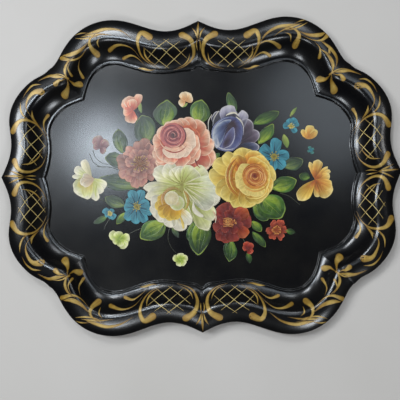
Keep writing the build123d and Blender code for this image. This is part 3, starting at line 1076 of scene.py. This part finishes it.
def corner_trefoil(p, gap_open):
    """Three drops meeting at a corner; where the crest leaves swing away, two blades fill the gap."""
    if gap_open:
        blade(p, 6.5, (202, 217), (219, 205), (229, 189), (225, 170))
        blade(p, 4.5, (200, 206), (213, 194), (219, 180), (220, 166))
    comma(p, 13.0, (205, 158), (209, 157), (214, 159), (219, 163))
    comma(p, 14.0, (226, 141), (222, 146), (219, 154), (219, 164))
    comma(p, 10.0, (237, 155), (233, 159), (227, 160), (219, 164))
    blade(p, 5.0, (219, 162), (222, 176), (217, 190), (206, 199))
    comma(p, 3.6, (218, 163), (230, 170), (246, 169), (266, 162))
    blade(p, 6.5, (222, 164), (236, 166), (250, 167), (268, 160))


def side_leaves(p):
    comma(p, 14.0, (264, 141), (273, 141), (283, 131), (287, 114), (278, 96))
    blade(p, 3.6, (262, 153), (276, 152), (287, 143), (293, 130))
    blade(p, 4.0, (278, 110), (278, 99), (271, 88))
    comma(p, 5.6, (258, 106), (264, 96), (263, 82), (256, 68))
    blade(p, 3.4, (297, 124), (296, 110), (289, 99), (277, 92))


def side_lattice(p):
    lattice(p, (281, 54), 19, 35, 56, 14.0)


def side_scrolls(p):
    comma(p, 12.0, (309, 78), (302, 89), (290, 94), (277, 91), (267, 80), (260, 64))
    comma(p, 11.0, (306, 26), (300, 14), (289, 8), (277, 12), (267, 23), (260, 40))
    blade(p, 2.4, (294, 20), (283, 22), (273, 32), (266, 46))


# each quarter's mirroring, the turn of its crest leaves in degrees and the slide of its sprays in mm
QUARTERS = (
    ("back_left", (-1, 1), 0, 0),
    ("back_right", (1, 1), 25, -14),
    ("front_left", (-1, -1), 0, 0),
    ("front_right", (1, -1), 6, -4),
)
GAP_OPENS_AT = 10  # turn of the crest leaves, in degrees
for corner, flip, turn, slide in QUARTERS:
    for draw, level, extra in (
        (cusp_lattice, 0.0, ()),
        (cusp_scrolls, 0.05, (slide,)),
        (crest_leaves, 0.0, ()),
        (corner_trefoil, 0.05, (turn > GAP_OPENS_AT,)),
        (side_leaves, 0.0, ()),
        (side_lattice, 0.0, ()),
        (side_scrolls, 0.05, ()),
    ):
        swing = turn if draw is crest_leaves else 0
        motif = Paint(f"gold_{draw.__name__}_{corner}", level, "paint_gold", flip, swing)
        draw(motif, *extra)
        motif.done()

FANS = (("back", (0, 1)), ("front", (0, -1)), ("left", (-1, 0)), ("right", (1, 0)))
for side, (across, along) in FANS:
    p = Paint(f"gold_cusp_fan_{side}", 0.1, "paint_gold", (across or 1, along or 1))
    if along:
        blade(p, 4.5, (0, 226), (0, 240), (0, 256))
        for half in (-1, 1):
            blade(p, 3.6, (half * 2, 226), (half * 5, 236), (half * 11, 245))
            blade(p, 2.6, (half * 2, 210), (half * 3, 218), (half, 226))
    else:
        blade(p, 4.5, (292, 0), (306, 1), (324, 2))
        for half in (-1, 1):
            blade(p, 3.4, (292, half), (304, half * 6), (316, half * 11))
            blade(p, 2.4, (276, half * 3), (284, half * 3), (292, half))
    p.done()


# ---------------------------------------------------------------- floor, lights and camera

def make_floor():
    half = 4.0
    corners = [(-half, -half, 0), (half, -half, 0), (half, half, 0), (-half, half, 0)]
    mesh = bpy.data.meshes.new("studio_floor")
    mesh.from_pydata(corners, [], [(0, 1, 2, 3)])
    mesh.materials.append(floor_material())
    floor = placed("studio_floor", mesh)
    floor.location.z = -0.2 * MM  # clear of the tray's underside


def area_light(name, place, size, radiance, aim=(0, 0, 0), tint=(1.0, 1.0, 1.0)):
    """A soft square lamp of that brightness, pointed at a spot on the tray."""
    data = bpy.data.lights.new(name, "AREA")
    data.shape = "SQUARE"
    data.size = size
    data.energy = radiance * math.pi * size * size
    data.color = tint
    lamp = placed(name, data)
    lamp.location = place
    lamp.rotation_euler = (Vector(aim) - Vector(place)).to_track_quat("-Z", "Y").to_euler()


make_floor()
cool_white = (0.9, 0.95, 1.0)
sky_white = (0.8, 0.9, 1.0)
area_light("left_window", (-0.475, 0.29, 1.5), 0.22, 37.0, (-0.1, 0.05, 0), sky_white)
area_light("right_window", (0.62, 0.50, 1.5), 0.55, 3.1, (0.1, 0.05, 0), sky_white)
area_light("left_wall", (-1.45, 0.45, 1.8), 0.62, 24.0, tint=cool_white)
area_light("right_wall", (1.6, 0.5, 1.8), 0.3, 12.0)
area_light("back_wall", (-0.57, 1.2, 1.85), 0.36, 36.0, tint=cool_white)
area_light("back_window", (0.5, 1.5, 1.7), 0.5, 8.0, tint=cool_white)
area_light("front_wall", (0.9, -1.35, 1.6), 0.42, 20.0, tint=cool_white)
area_light("front_window", (-0.5, -1.0, 1.8), 0.36, 20.0, tint=cool_white)

world = bpy.data.worlds.new("studio")
bpy.context.scene.world = world
world.use_nodes = True
sky = world.node_tree.nodes["Background"].inputs
sky["Color"].default_value = (0.96, 0.98, 1.0, 1.0)
sky["Strength"].default_value = 0.03
bpy.context.scene.view_settings.view_transform = "Standard"

lens = bpy.data.cameras.new("camera")
lens.sensor_width = 36.0
lens.lens = 45.0
camera = placed("camera", lens)
# the photographer's place, almost straight over the tray
camera.location = (0.0114, -0.0835, 0.8428)
camera.rotation_euler = (math.radians(2.85), math.radians(0.91), math.radians(-0.84))
bpy.context.scene.camera = camera
